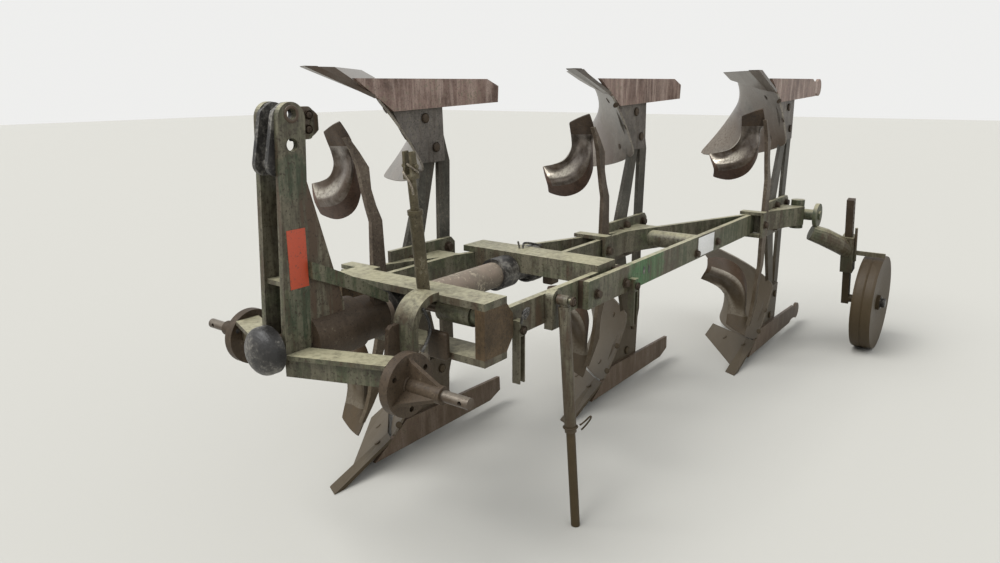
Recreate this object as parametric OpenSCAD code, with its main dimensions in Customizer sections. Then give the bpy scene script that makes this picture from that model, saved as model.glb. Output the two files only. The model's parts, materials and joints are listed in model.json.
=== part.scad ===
// Mounted three-furrow reversible moldboard plough, standing on its share points,
// its parking stand and its gauge wheel.
// X points in the direction of travel, Y to the plough's left and Z up from the floor.

/* [Plough layout] */
// Height of the turnover axis over the floor
axis_h = 689; // [670:1:710]
// Distance from the turnover axis to the sole of a landside
sole_r = 655; // [640:1:665]
// Distance between bodies along the direction of travel
body_pitch = 905; // [880:1:930]
// Furrow width, the sideways step from body to body
furrow = 353; // [340:1:366]
// Place of the first landside's heel ahead of the turnover axis' zero
heel_x = -1010; // [-1030:1:-1000]
// Sideways place of the first landside's outer face
land_y = -270; // [-280:1:-260]

/* [Landside, share and leg] */
// Depth of the share's cutting edge below the sole
share_dip = 34; // [28:1:38]
// Thickness of a landside
land_t = 14; // [10:1:16]
// Height of a landside at its front
land_h = 105; // [95:1:115]
// Height of a landside at its heel
heel_h = 86; // [75:1:92]
// Length of a landside along its sole
land_len = 736; // [700:1:745]
// Reach of the share's point ahead of the heel
point_u = 925; // [900:1:940]
// Reach of the share's wing ahead of the heel
wing_u = 440; // [420:1:460]
// Cut of the share to the right of the landside
share_cut = 335; // [320:1:345]
// Width of the share's point bar
point_w = 52; // [44:1:60]
// Thickness of the share
share_t = 12; // [9:1:14]
// Thickness of a moldboard
board_t = 8; // [6:1:10]
// Reach of a moldboard's tail to the right of the landside
board_reach = 585; // [570:1:592]
// Reach of the rear landside's disc behind its heel
tail_reach = 102; // [90:1:110]
// Thickness of the frog plate
frog_t = 16; // [12:1:18]
// Thickness of a leg strap
leg_t = 16; // [12:1:18]
// Width of a leg strap
leg_w = 82; // [70:1:86]

/* [Skimmers] */
// Width of a skimmer stalk
stalk_w = 62; // [56:1:64]
// Thickness of a skimmer stalk
stalk_t = 16; // [12:1:17]
// Place of a stalk's middle ahead of the heel, at the frame
stalk_u = 677; // [675:1:680]
// Thickness of a skimmer board
skim_t = 7; // [5:1:8]

/* [Main frame] */
// Height of the rails
rail_h = 90; // [80:1:100]
// Thickness of the rails
rail_t = 20; // [16:1:22]
// Outer face of the left rail
rail_y = 400; // [392:1:408]
// Gap between the two lengths of the left rail, filled by packers
packer_t = 18; // [14:1:22]
// Front end of the left rear rail
rear_rail_x = -575; // [-590:1:-560]
// Rear end of the main beam
beam_end_x = -2452; // [-2458:1:-2440]
// Front face of the front cross-member
front_x = -84; // [-90:1:-80]
// Width of the front cross-member's plates
front_w = 98; // [92:1:102]
// Half height of the front cross-member
front_h = 88; // [84:1:92]
// Thickness of the front cross-member's plates
front_t = 20; // [16:1:22]
// Right end of the cross-members
cross_right_y = -200; // [-206:1:-194]
// Thickness of the front cross-member's end blocks
end_t = 32; // [26:1:36]
// Length of an end block
end_len = 126; // [118:1:132]
// Front face of the rear cross-member
rear_x = -698; // [-710:1:-690]
// Width of the rear cross-member
rear_w = 116; // [106:1:122]
// Thickness of the rear cross-member
rear_t = 22; // [18:1:26]
// Place of the cross tube
cross_tube_x = -1515; // [-1530:1:-1500]
// Diameter of the cross tube
cross_tube_d = 70; // [60:1:76]
// Middle of the inner bar
inner_y = 106; // [104:1:108]
// Diameter of the turnover tube
tube_d = 89; // [80:1:92]
// Rear end of the turnover tube
tube_end_x = -862; // [-870:1:-850]
// Diameter of the collars that carry the turnover tube
collar_d = 132; // [120:1:140]

/* [Headstock] */
// Running gap of the turnover tube in its bearing
bearing_gap = 0.1; // [0.05:0.01:0.1]
// Diameter of the bearing housing
housing_d = 150; // [140:1:156]
// Front face of the bearing housing
housing_x = 205; // [200:1:208]
// Length of the bearing housing
housing_len = 262; // [255:1:264]
// Inner gap between the mast plates
mast_gap = 60; // [56:1:64]
// Thickness of a mast plate
mast_t = 16; // [14:1:18]
// Width of a mast plate
mast_w = 78; // [72:1:82]
// Foot of the mast, middle of the plate
mast_foot_x = 250; // [248:1:252]
// How far the mast leans back from foot to top
mast_lean = 31; // [25:1:35]
// Height of the beam's top below the turnover axis
beam_drop = 10; // [8:1:14]
// Height of the upper top link hole above the turnover axis
link_hi = 569; // [560:1:575]
// Diameter of the upper top link hole
link_hi_d = 25.4; // [19:0.1:25.5]
// Height of the lower top link hole above the turnover axis
link_lo = 498; // [490:1:505]
// Diameter of the lower top link hole
link_lo_d = 31.8; // [25.4:0.1:32]
// Width of the hitch beam
beam_w = 70; // [62:1:74]
// Thickness of the hitch beam's top plate
beam_t = 12; // [10:1:14]
// Depth of the web below the hitch beam's top plate
web_h = 50; // [42:1:56]
// Thickness of the web
web_t = 14; // [12:1:16]
// How far each arm sweeps back for each millimetre sideways
beam_sweep = 0.372; // [0.36:0.001:0.38]
// Inner face of a hitch disc
disc_y = 296; // [292:1:298]
// Thickness of a hitch disc
disc_t = 28; // [24:1:30]
// Diameter of a hitch disc
disc_d = 161; // [156:1:166]
// Place of the hitch pins ahead of the turnover axis' zero
pin_x = 142; // [140:1:146]
// Drop of the hitch pins below the turnover axis
pin_drop = 71; // [68:1:74]
// Diameter of the hitch pins, for a category two linkage
pin_d = 28.6; // [22:0.1:28.6]
// Shoulder of the hitch pins, half of their spread
pin_shoulder = 430; // [412:1:436]
// Length of a hitch pin beyond its shoulder
pin_len = 80; // [76:1:92]
// Diameter of the linch pin hole
linch_d = 12; // [10:0.5:13]

/* [Stand] */
// Place of the stand's hinge pin
stand_x = -412; // [-416:1:-408]
// Height of the hinge pin above the turnover axis
stand_pin_z = 28; // [24:1:32]
// Outer diameter of the stand's pipe
pipe_d = 36; // [35:0.5:38]
// Bore of the stand's pipe
pipe_bore = 29; // [28.8:0.1:31]
// Diameter of the inner leg
leg_d = 28; // [26:0.5:28.2]
// Outward lean of the stand, in degrees
stand_lean = 4.5; // [4:0.5:5]
// Length of the pipe below the hinge pin
pipe_len = 409; // [400:1:416]
// Depth of the ear that carries the stand
ear_d = 28; // [24:1:32]

/* [Gauge wheel] */
// Diameter of the wheel
wheel_d = 480; // [470:1:490]
// Width of the wheel
wheel_w = 94; // [88:1:100]
// Sideways place of the wheel's left face
wheel_y = 884; // [880:1:890]
// Place of the wheel's axle
wheel_x = -2705; // [-2710:1:-2700]
// Thickness of the wheel's rim
rim_t = 8; // [6:1:10]
// Diameter of the axle
axle_d = 40; // [36:1:44]
// Place of the arm's pivot
arm_x = -2500; // [-2504:1:-2496]
// Sideways place of the barrel that carries the pivot
barrel_y = 487; // [484:1:490]
// Diameter of the barrel
barrel_d = 64; // [58:1:68]
// Height of the barrel
barrel_h = 142; // [130:1:150]
// Diameter of the arm's pivot shaft
pivot_d = 44; // [40:1:46]
// Diameter of the arm's flange
flange_d = 118; // [112:1:124]
// Width across the sleeve
sleeve_w = 58; // [54:1:60]
// Sideways place of the sleeve
sleeve_y = 717; // [714:1:722]
// Forward lean of the stem and its sleeve, in degrees
stem_lean = 14; // [12:0.5:15]

/* [Hidden] */

fine = 64;
seat = 0.3;
nose_gap = 11;
nose_len = 56;
bodies = [0, 1, 2];
sides = [-1, 1];

function unit(v) = v / norm(v);
function mix(a, b, t) = a * (1 - t) + b * t;
function curve(a, m, b, t) = a * (1 - t) * (1 - t) + m * 2 * t * (1 - t) + b * t * t;

// Puts the plough's middle over the origin; all places below are from the turnover axis.
rear_end = min(heel_x - 2 * body_pitch - tail_reach, wheel_x - wheel_d / 2);
mid_x = (mast_foot_x + mast_w / 2 + nose_gap + nose_len + rear_end) / 2;
mid_y = (wheel_y + land_y - board_reach) / 2;
module centred() {
    translate([-mid_x, -mid_y, 0]) children();
}

// Two triangles of a four-sided patch.
function quad(a, b, c, d) = [[a, b, c], [a, c, d]];
function join(lists) = [for (l = lists) each l];

// Solid through closed sections that all have the same number of points.
module loft(sections) {
    n = len(sections[0]);
    last = (len(sections) - 1) * n;
    walls = join([for (i = [0:len(sections) - 2], j = [0:n - 1])
        quad(i * n + j, i * n + (j + 1) % n, (i + 1) * n + (j + 1) % n, (i + 1) * n + j)]);
    ends = join([for (j = [1:n - 2]) [[0, j + 1, j], [last, last + j, last + j + 1]]]);
    polyhedron(join(sections), concat(walls, ends), convexity = 6);
}

// Unit normal of a grid of points at row i and column j.
function grid_normal(g, i, j) = let (
    rows = len(g) - 1, cols = len(g[0]) - 1,
    du = g[min(i + 1, rows)][j] - g[max(i - 1, 0)][j],
    dv = g[i][min(j + 1, cols)] - g[i][max(j - 1, 0)])
    unit(cross(du, dv));

// Curved plate of thickness t behind a grid of points.
module sheet(g, t) {
    m = len(g[0]);
    loft([for (i = [0:len(g) - 1])
        concat(g[i], [for (j = [m - 1:-1:0]) g[i][j] + t * grid_normal(g, i, j)])]);
}

// Place of one plough body: heel of the landside at the origin, sole in the XY plane.
module at_body(i, upper) {
    translate([heel_x - i * body_pitch, land_y + i * furrow, axis_h])
        mirror([0, 0, upper ? 1 : 0])
            translate([0, 0, -sole_r]) children();
}
module each_body() {
    for (i = bodies, upper = [false, true]) at_body(i, upper) children();
}

// Upright plate of thickness t in the XZ plane, its left face at y.
module plate_xz(y, t) {
    translate([0, y, 0]) rotate([90, 0, 0]) linear_extrude(t) children();
}
// Flat plate of thickness t, its lower face at z.
module plate_xy(z, t) {
    translate([0, 0, z]) linear_extrude(t) children();
}
// Round bar along Y from y0 to y1.
module bar_y(x, z, d, y0, y1) {
    translate([x, y0, z]) rotate([-90, 0, 0]) cylinder(d = d, h = y1 - y0, $fn = fine);
}
// Round bar along X from x0 to x1 on the turnover axis.
module bar_x(x0, x1, d) {
    translate([x0, 0, axis_h]) rotate([0, 90, 0]) cylinder(d = d, h = x1 - x0, $fn = fine);
}

// Main beam: it runs parallel to the line of the bodies, on the left of their legs.
beam_slope = furrow / body_pitch;
bracket_front_u = 600;
bracket_rear_u = 262;
web_rear_u = 356;
beam_x0 = heel_x + bracket_front_u + 168;
function beam_face(x) = land_y - land_t + beam_slope * (heel_x + bracket_front_u - x);
beam_skin = rail_t * sqrt(1 + beam_slope * beam_slope);
function beam_left_v(u) = beam_slope * (bracket_front_u - u) - land_t + beam_skin;

// Side place of the skimmer stalks' middle, clear of the beam's left face.
stalk_gap = 2.475;
stalk_v = beam_left_v(stalk_u - stalk_w / 2) + stalk_gap + stalk_t / 2;
module beam_outline(x0, x1, skin) {
    polygon([[x0, beam_face(x0)], [x1, beam_face(x1)],
        [x1, beam_face(x1) + skin], [x0, beam_face(x0) + skin]]);
}
// Everything to the left of the main beam's left face.
module left_of_beam() {
    polygon([[600, beam_face(600) + beam_skin], [-3600, beam_face(-3600) + beam_skin],
        [-3600, 3000], [600, 3000]]);
}
rail_z = axis_h - rail_h / 2;
module bar_in_plan(x0, x1, y0, y1) {
    polygon([[x0, y0], [x1, y0], [x1, y1], [x0, y1]]);
}
front_rail_y = rail_y - rail_t - packer_t;
front_rail_x = front_x - end_len;
end_proud = 14;
end_face_y = front_rail_y + end_proud;

module main_beam() {
    color("darkolivegreen") centred()
    plate_xy(rail_z, rail_h) beam_outline(beam_x0, beam_end_x, beam_skin);
}

module left_rail_front() {
    color("olivedrab") centred()
    plate_xy(rail_z, rail_h)
        bar_in_plan(front_rail_x, rear_x - rear_w - 20, front_rail_y - rail_t, front_rail_y);
}

module left_rail_rear() {
    color("olivedrab") centred()
    plate_xy(rail_z, rail_h) intersection() {
        bar_in_plan(rear_rail_x, beam_end_x, rail_y - rail_t, rail_y);
        left_of_beam();
    }
}

packer_len = 44;
module rail_packers() {
    color("saddlebrown") centred()
    for (x = [rear_rail_x - packer_len, rear_x - rear_w - 20])
        plate_xy(rail_z, rail_h) bar_in_plan(x, x + packer_len, front_rail_y, front_rail_y + packer_t);
}

right_rail_y = cross_right_y + rail_t;
module right_rail() {
    color("darkolivegreen") centred()
    plate_xy(rail_z, rail_h) intersection() {
        bar_in_plan(front_rail_x, rear_x, right_rail_y - rail_t, right_rail_y);
        left_of_beam();
    }
}

module inner_bar() {
    color("olivedrab") centred()
    plate_xy(rail_z, rail_h) intersection() {
        bar_in_plan(rear_x - rear_w - 20, rear_x - 700, inner_y - rail_t / 2, inner_y + rail_t / 2);
        left_of_beam();
    }
}

module cross_tube() {
    color("darkseagreen") centred()
    intersection() {
        bar_y(cross_tube_x, axis_h, cross_tube_d, beam_face(cross_tube_x) - 60, rail_y - rail_t);
        plate_xy(rail_z, rail_h) left_of_beam();
    }
}

// Front cross-member: two plates joined by the end blocks.
module front_cross_member() {
    color("darkkhaki") centred()
    for (z = [axis_h + front_h - front_t, axis_h - front_h])
        plate_xy(z, front_t) bar_in_plan(front_x - front_w, front_x, cross_right_y, end_face_y);
}

end_cut = 36;
module end_blocks() {
    half = front_h - front_t;
    color("sienna") centred()
    for (y = [end_face_y, cross_right_y + end_t])
        plate_xz(y, end_t) translate([front_x, axis_h]) polygon([[0, -half], [0, half],
            [-front_w, half], [-end_len, half - end_cut], [-end_len, end_cut - half], [-front_w, -half]]);
}

module rear_cross_member() {
    flange_t = 12;
    flange_h = 46;
    plate_z = axis_h + rail_h / 2;
    color("darkkhaki") centred()
    union() {
        plate_xy(plate_z, rear_t) bar_in_plan(rear_x - rear_w, rear_x, cross_right_y, front_rail_y);
        difference() {
            plate_xy(plate_z - flange_h, flange_h)
                bar_in_plan(rear_x - flange_t, rear_x, beam_face(rear_x - flange_t) + beam_skin, front_rail_y - rail_t);
            bar_x(rear_x - 2 * flange_t, rear_x + flange_t, tube_d + 2 * seat);
        }
    }
}

// Turnover tube and the collars that hold it in the frame.
module turnover_tube() {
    color("rosybrown") centred() bar_x(tube_end_x, housing_x - 15, tube_d);
}

module collar(x0, x1, d) {
    difference() {
        bar_x(x0, x1, d);
        bar_x(x0 - 1, x1 + 1, tube_d);
    }
}
module tube_collars() {
    plate_gap = 2 * (front_h - front_t);
    color("dimgray") centred() {
        collar(front_x - front_w + 8, front_x - 8, plate_gap);
        difference() {
            union() {
                bar_x(rear_x - rear_w + 10, rear_x - flange_clear, rear_seat_d);
                bar_x(rear_x + 4, rear_x + 84, grease_collar_d);
                bar_x(tube_end_x + 6, tube_end_x + 40, collar_d);
            }
            bar_x(tube_end_x, rear_x + 100, tube_d);
        }
    }
}
rear_seat_d = rail_h;
grease_collar_d = 112;
flange_clear = 12;

// Headstock
function mast_mid(z) = mast_foot_x - mast_lean * z / link_hi;
beam_top = axis_h - beam_drop;
module mast_outline() {
    top = mast_mid(link_hi);
    hull() {
        translate([top, axis_h + link_hi - 11]) circle(d = mast_w, $fn = 32);
        translate([mast_foot_x - mast_w / 2, beam_top]) square([mast_w, 1]);
    }
}
module mast_plates() {
    color("darkolivegreen") centred()
    for (s = sides)
        difference() {
            plate_xz(s > 0 ? mast_gap / 2 + mast_t : -mast_gap / 2, mast_t) mast_outline();
            bar_y(mast_mid(link_hi), axis_h + link_hi, link_hi_d, -mast_gap, mast_gap);
            bar_y(mast_mid(link_lo), axis_h + link_lo, link_lo_d, -mast_gap, mast_gap);
        }
}

// Ties between the mast plates: height over the axis, place behind the mast's middle,
// height of the tie and its depth.
mast_tie_rows = [[158, 0, 12, 60], [300, 24, 90, 12]];
module mast_ties() {
    color("darkslategray") centred()
    for (row = mast_tie_rows)
        translate([mast_mid(row[0]) - row[1] - row[3] / 2, -mast_gap / 2, axis_h + row[0]])
            cube([row[3], mast_gap, row[2]]);
}

gusset_top = 410;
gusset_foot_x = 95;
module mast_gussets() {
    color("darkslategray") centred()
    for (s = sides)
        difference() {
            plate_xz(s > 0 ? mast_gap / 2 + mast_t : -mast_gap / 2, mast_t)
                polygon([[mast_mid(gusset_top) - mast_w / 2 , axis_h + gusset_top],
                    [mast_foot_x - mast_w / 2, axis_h], [gusset_foot_x, axis_h],
                    [gusset_foot_x, axis_h + 80]]);
            plate_xz(mast_gap, 2 * mast_gap) mast_outline();
            bar_x(0, housing_x, housing_d);
        }
}

// Curved stay from the mast's rear edge to the lug on the bearing housing.
stay_t = 14;
stay_w = 44;
lug_len = 46;
lug_top = 74;
stay_y = mast_gap / 2 + mast_t;
stay_top = [[mast_foot_x - 48, 212], [mast_foot_x - 154, 166], [housing_x - housing_len + 3, lug_top]];
stay_low = [stay_top[0] - [0, stay_w], stay_top[1] - [4, stay_w], stay_top[2] - [0, 28]];
module mast_stay() {
    color("olivedrab") centred()
    plate_xz(stay_y + stay_t, stay_t) translate([0, axis_h]) polygon(concat(
        [for (t = [0:0.125:1]) curve(stay_top[0], stay_top[1], stay_top[2], t)],
        [for (t = [1:-0.125:0]) curve(stay_low[0], stay_low[1], stay_low[2], t)]));
}

module bearing_housing() {
    x1 = housing_x - housing_len;
    color("saddlebrown") centred()
    difference() {
        union() {
            bar_x(x1, x1 + 90, housing_d - 22);
            bar_x(x1 + 90, housing_x, housing_d);
            bar_x(housing_x, mast_foot_x + mast_w / 2 + nose_gap, mast_gap - 2);
            translate([x1, stay_y - 16, axis_h]) cube([lug_len, 16, lug_top]);
        }
        bar_x(x1 - 1, housing_x - 12, tube_d + 2 * bearing_gap);
    }
}

module nose_cap() {
    x0 = mast_foot_x + mast_w / 2 + nose_gap;
    color("dimgray") centred()
    translate([x0, 0, axis_h]) rotate([0, 90, 0]) rotate_extrude($fn = fine)
        polygon(concat([[0, 0], [62, 0]], [for (a = [0:10:90]) [62 * cos(a), nose_len - 36 + 36 * sin(a)]]));
}

function beam_mid(y) = mast_foot_x + 22 - beam_sweep * abs(y);
module hitch_arm_outline(w, y1) {
    half = w / 2 * sqrt(1 + beam_sweep * beam_sweep);
    y0 = mast_gap / 2;
    polygon([[beam_mid(y0) + half, y0], [beam_mid(y0) - half, y0],
        [beam_mid(y1) - half, y1], [beam_mid(y1) + half, y1]]);
}
module hitch_beam() {
    color("olive") centred()
    for (s = [0, 1])
        mirror([0, s, 0]) union() {
            plate_xy(beam_top - beam_t, beam_t) hitch_arm_outline(beam_w, disc_y);
            plate_xy(beam_top - beam_t - web_h, web_h)
                translate([14, 0]) hitch_arm_outline(web_t, disc_y);
            plate_xy(beam_top - beam_t - web_h, web_h)
                translate([-14, 0]) hitch_arm_outline(web_t, disc_y);
        }
}

pin_z = axis_h - pin_drop;
spigot_d = pin_d - 4;
module hitch_discs() {
    rib_t = 12;
    rib_h = 62;
    color("sienna") centred()
    for (s = [0, 1])
        mirror([0, s, 0]) difference() {
            union() {
                bar_y(pin_x, pin_z, disc_d, disc_y, disc_y + disc_t);
                bar_y(pin_x, pin_z, pin_d + 16, disc_y + disc_t, pin_shoulder);
                for (a = [270, 30, 150])
                    translate([pin_x, disc_y + disc_t, pin_z]) rotate([0, a, 0])
                        translate([0, 0, -rib_t / 2]) linear_extrude(rib_t)
                            polygon([[0, 0], [rib_h + 12, 0], [rib_h, 10], [20, 96], [0, 96]]);
            }
            bar_y(pin_x, pin_z, spigot_d, disc_y - 1, pin_shoulder + 1);
            for (a = [30, 150, 270])
                translate([cos(a) * 62, 0, sin(a) * 62]) bar_y(pin_x, pin_z, 15, disc_y - 1, disc_y + disc_t + 1);
        }
}

module hitch_pins() {
    y1 = pin_shoulder + pin_len;
    color("rosybrown") centred()
    for (s = [0, 1])
        mirror([0, s, 0]) difference() {
            union() {
                bar_y(pin_x, pin_z, spigot_d, disc_y, pin_shoulder + 1);
                bar_y(pin_x, pin_z, pin_d, pin_shoulder, y1);
            }
            translate([pin_x - 30, y1 - 22, pin_z]) rotate([0, 90, 0]) cylinder(d = linch_d, h = 60, $fn = fine);
        }
}

// Pair of links that hang from the upper top link hole, with the bolt that closes them.
link_t = 12;
module top_shackle() {
    x0 = mast_mid(link_hi);
    z0 = axis_h + link_hi;
    low = [x0 + 38, z0 - 116];
    color("dimgray") centred()
    difference() {
        union() {
            for (y = [-mast_gap / 2 + link_t + seat, mast_gap / 2 - seat])
                plate_xz(y, link_t) hull() {
                    translate([x0, z0 - 4]) circle(d = 62, $fn = 32);
                    translate([x0 + 22, z0 - 6]) circle(d = 40, $fn = 32);
                    translate(low) circle(d = 56, $fn = 32);
                }
            bar_y(low[0], low[1], 22, -mast_gap / 2 + 2, mast_gap / 2 - 2);
        }
        bar_y(x0, z0, link_hi_d, -mast_gap, mast_gap);
        bar_y(mast_mid(link_lo), axis_h + link_lo, link_lo_d + 2 * seat, -mast_gap, mast_gap);
    }
}

// Hooped stop: a bent flat bar from the front cross-member, with a plate on its free end.
hoop_y = 222;
hoop_w = 72;
hoop_t = 22;
hoop_rise = 8;
hoop_x = 24;
hoop_r = 92;
hoop_end = 70;
module hoop_arc(r) {
    z = axis_h + front_h + hoop_rise - hoop_r;
    circle_r = r;
    translate([hoop_x - hoop_r, z]) circle(r = circle_r, $fn = fine);
}
module stop_hoop() {
    z1 = axis_h + front_h + hoop_rise;
    mid = hoop_x - hoop_r;
    color("darkolivegreen") centred()
    plate_xz(hoop_y, hoop_w) difference() {
        union() {
            translate([front_x, z1 - hoop_t]) square([mid - front_x, hoop_t]);
            intersection() {
                hoop_arc(hoop_r);
                translate([mid, z1 - hoop_r]) square([hoop_r, hoop_r]);
            }
            translate([hoop_x - hoop_t, axis_h - hoop_end]) square([hoop_t, z1 - hoop_r - axis_h + hoop_end]);
        }
        hoop_arc(hoop_r - hoop_t);
    }
}

stop_len = 36;
stop_top = 26;
module stop_plate() {
    color("saddlebrown") centred()
    plate_xz(hoop_y - hoop_w + 24, 14) translate([hoop_x, axis_h])
        polygon([[0, -hoop_end], [stop_len + 12, -hoop_end], [stop_len, stop_top - 8], [stop_len - 10, stop_top], [0, stop_top]]);
}

// Adjusting pole on the cross-member: a tube, a thinner screw and a forked head with a cross pin.
pole_x = -94;
pole_y = 157;
pole_d = 36;
screw_d = 24;
pole_len = 215;
screw_len = 311;
pole_lean = 6;
fork_len = 72;
module adjusting_pole() {
    color("olivedrab") centred()
    translate([pole_x, pole_y, axis_h + front_h]) difference() {
        rotate([0, pole_lean, 0]) union() {
            translate([0, 0, -8]) cylinder(d = pole_d, h = pole_len + 8, $fn = fine);
            cylinder(d = screw_d, h = screw_len, $fn = fine);
            translate([0, 0, pole_len]) cylinder(d = pole_d + 6, h = 12, $fn = fine);
            translate([-14, -16, screw_len]) cube([28, 32, 12]);
            for (y = [-16, 8])
                plate_xz(y + 8, 8) translate([0, screw_len])
                    polygon([[-14, 0], [14, 0], [8, fork_len], [-8, fork_len]]);
            translate([0, -26, screw_len + 34]) rotate([-90, 0, 0]) cylinder(d = 10, h = 52, $fn = fine);
        }
        translate([-100, -100, -50]) cube([200, 200, 50]);
        translate([front_x - pole_x, -100, -1]) cube([100, 200, hoop_rise + 1]);
    }
}

// Plough bodies
sole_len = land_len;
heel_disc_d = 86;
module landsides() {
    color("indianred") centred()
    union() {
        each_body() difference() {
            plate_xz(0, land_t)
                polygon([[sole_len, 0], [70, 0], [0, 26], [4, heel_h], [sole_len - 165, land_h]]);
            share();
        }
        for (upper = [false, true])
            at_body(2, upper) plate_xz(0, land_t) union() {
                translate([heel_disc_d / 2 - tail_reach, heel_disc_d / 2]) circle(d = heel_disc_d, $fn = 48);
                translate([heel_disc_d / 2 - tail_reach, 12]) square([90, heel_h - 26]);
            }
    }
}

frog_foot = 22;
module frog() {
    plate_xz(-land_t, frog_t)
        polygon([[sole_len - 90, frog_foot], [318, frog_foot], [308, 286], [428, 286],
            [470, 222], [508, 184], [sole_len - 172, 104]]);
}
module frogs() {
    color("dimgray") centred() each_body() frog();
}

// Leg straps: reach of the middle at the frog and at the frame, and width at each.
leg_rows = [[378, 486, 66, 96], [294, 302, 62, 56]];
leg_foot = 290;
module leg() {
    top = sole_r - 15;
    plate_xz(-land_t - frog_t, leg_t) union() {
        for (row = leg_rows)
            polygon([[row[0] - row[2] / 2, leg_foot], [row[0] + row[2] / 2, leg_foot],
                [row[1] + row[3] / 2, top], [row[1] - row[3] / 2, top]]);
        polygon([[320, 110], [396, 110], [411, leg_foot + 1], [263, leg_foot + 1]]);
    }
}
module legs() {
    color("dimgray") centred() each_body() leg();
}

module leg_brackets() {
    half = rail_h / 2 + 38;
    color("saddlebrown") centred()
    for (i = bodies)
        translate([heel_x - i * body_pitch, land_y + i * furrow - land_t, axis_h]) union() {
            plate_xz(0, frog_t) polygon([[bracket_front_u, -half], [bracket_front_u, half],
                [bracket_rear_u + 20, half], [bracket_rear_u, half - 20],
                [bracket_rear_u, 20 - half], [bracket_rear_u + 20, -half]]);
            for (z = [-rail_h / 2, rail_h / 2 - 14])
                translate([0, 0, z]) linear_extrude(14)
                    polygon([[bracket_front_u - 8, 0], [web_rear_u, 0],
                        [web_rear_u, (bracket_front_u - web_rear_u) * beam_slope],
                        [bracket_front_u - 8, 8 * beam_slope]]);
        }
}

// Share: a section of five points at each station, from the point bar to the wing.
// Columns: share of the cut, reach of the cutting edge, reach and height of the upper edge.
share_rows = [[0, point_u, 655, 62], [point_w / share_cut, point_u - 24, 620, 56],
    [(point_w + 6) / share_cut, point_u - 116, 615, 55], [0.6, mix(point_u - 116, wing_u, 0.52), 470, 30],
    [1, wing_u, wing_u - 108, 4]];
module share() {
    loft([for (row = share_rows) let (
        v = -row[0] * share_cut,
        back = unit([row[3] + share_dip, row[1] - row[2]]) * share_t)
        [[row[1], v, -share_dip], [row[1] - 3, v, 3 - share_dip], [row[2], v, row[3]],
            [row[2] - back[0], v, row[3] - back[1]], [row[1] - 46, v, -share_dip]]]);
}
module shares() {
    color("gray") centred() each_body() share();
}

// Moldboard between a lower and an upper edge, hollowed towards the landside.
rows_n = 12;
cols_n = 8;
board_grid = [for (i = [0:rows_n]) let (s = i / rows_n,
    low = curve([652, 0, 64], [250, -430, -42], [-5, -370, 38], s),
    top = curve([440, 0, 305], [330, -180, 396], [70, -board_reach, 405], s),
    hollow = curve(22, 150, 60, s),
    back = unit(curve([-0.7, 0.05, -0.6], [-0.8, 0.7, 0.1], [-0.5, 0.8, -0.2], s)))
    [for (j = [0:cols_n]) let (t = j / cols_n) mix(low, top, t) + back * hollow * 2 * t * (1 - t)]];
module board() {
    difference() {
        sheet(board_grid, -board_t);
        frog();
        leg();
    }
}
module boards_upper() {
    color("rosybrown") centred() for (i = bodies) at_body(i, true) board();
}
module boards_lower() {
    color("rosybrown") centred() for (i = bodies) at_body(i, false) board();
}

// Skimmer board: near edge, control point and far edge of the section at each station,
// each as reach ahead of the stalk, place to the right of it and height.
skim_near = stalk_t / 2 + seat;
skim_rows = [
    [[121, 0, 126], [115, 50, 138], [99, 98, 160]],
    [[67, 0, 225], [45, 56, 232], [65, 104, 236]],
    [[31, 0, 300], [-5, 66, 312], [45, 116, 284]],
    [[17, 0, 360], [-45, 96, 410], [39, 152, 306]],
    [[15, 0, 410], [-71, 148, 500], [35, 212, 328]],
    [[23, 0, 450], [-74, 199, 566], [28, 262, 345]]];
skim_grid = [for (row = skim_rows) [for (j = [0:8])
    let (p = curve(row[0], row[1], row[2], j / 8)) [stalk_u + p[0], stalk_v - skim_near - p[1], p[2]]]];
module skimmer_boards() {
    color("sienna") centred() each_body() sheet(skim_grid, skim_t);
}

module skimmer_stalks() {
    half = stalk_w / 2;
    color("peru") centred()
    each_body() plate_xz(stalk_v + stalk_t / 2, stalk_t)
        polygon([[stalk_u - half, sole_r - 10], [stalk_u + half, sole_r - 10], [stalk_u + 25, 452],
            [stalk_u + 39, 405], [stalk_u + 54, 345], [stalk_u + 71, 265], [stalk_u + 93, 215],
            [stalk_u + 118, 178], [stalk_u + 103, 176], [stalk_u + 61, 226], [stalk_u + 25, 275],
            [stalk_u + 20, 345], [stalk_u + 2, 400], [stalk_u - 22, 452]]);
}

// Clamp of a skimmer: a bent flat bar round the beam just ahead of the stalk, and the wedge
// between the beam and the stalk.
clamp_t = 14;
clamp_w = 48;
clamp_left = [46, 54, 22];
module skimmer_clamps() {
    half = rail_h / 2;
    u0 = stalk_u + stalk_w / 2 + 2;
    u1 = stalk_u - stalk_w / 2;
    near = stalk_v - stalk_t / 2 - seat;
    right = beam_left_v(u0 + clamp_w) - beam_skin - clamp_t;
    color("saddlebrown") centred()
    for (i = bodies)
        translate([heel_x - i * body_pitch, land_y + i * furrow, axis_h]) let (left = stalk_v + clamp_left[i]) union() {
            for (z = [half, -half - clamp_t])
                translate([u0, right, z]) cube([clamp_w, left - right, clamp_t]);
            translate([u0, left - clamp_t, -half - 1]) cube([clamp_w, clamp_t, rail_h + 2]);
            plate_xy(-half, 2 * half) polygon([[u1, near], [u1, beam_left_v(u1) + seat],
                [u0 - 2, beam_left_v(u0 - 2) + seat], [u0 - 2, near]]);
        }
}

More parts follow.
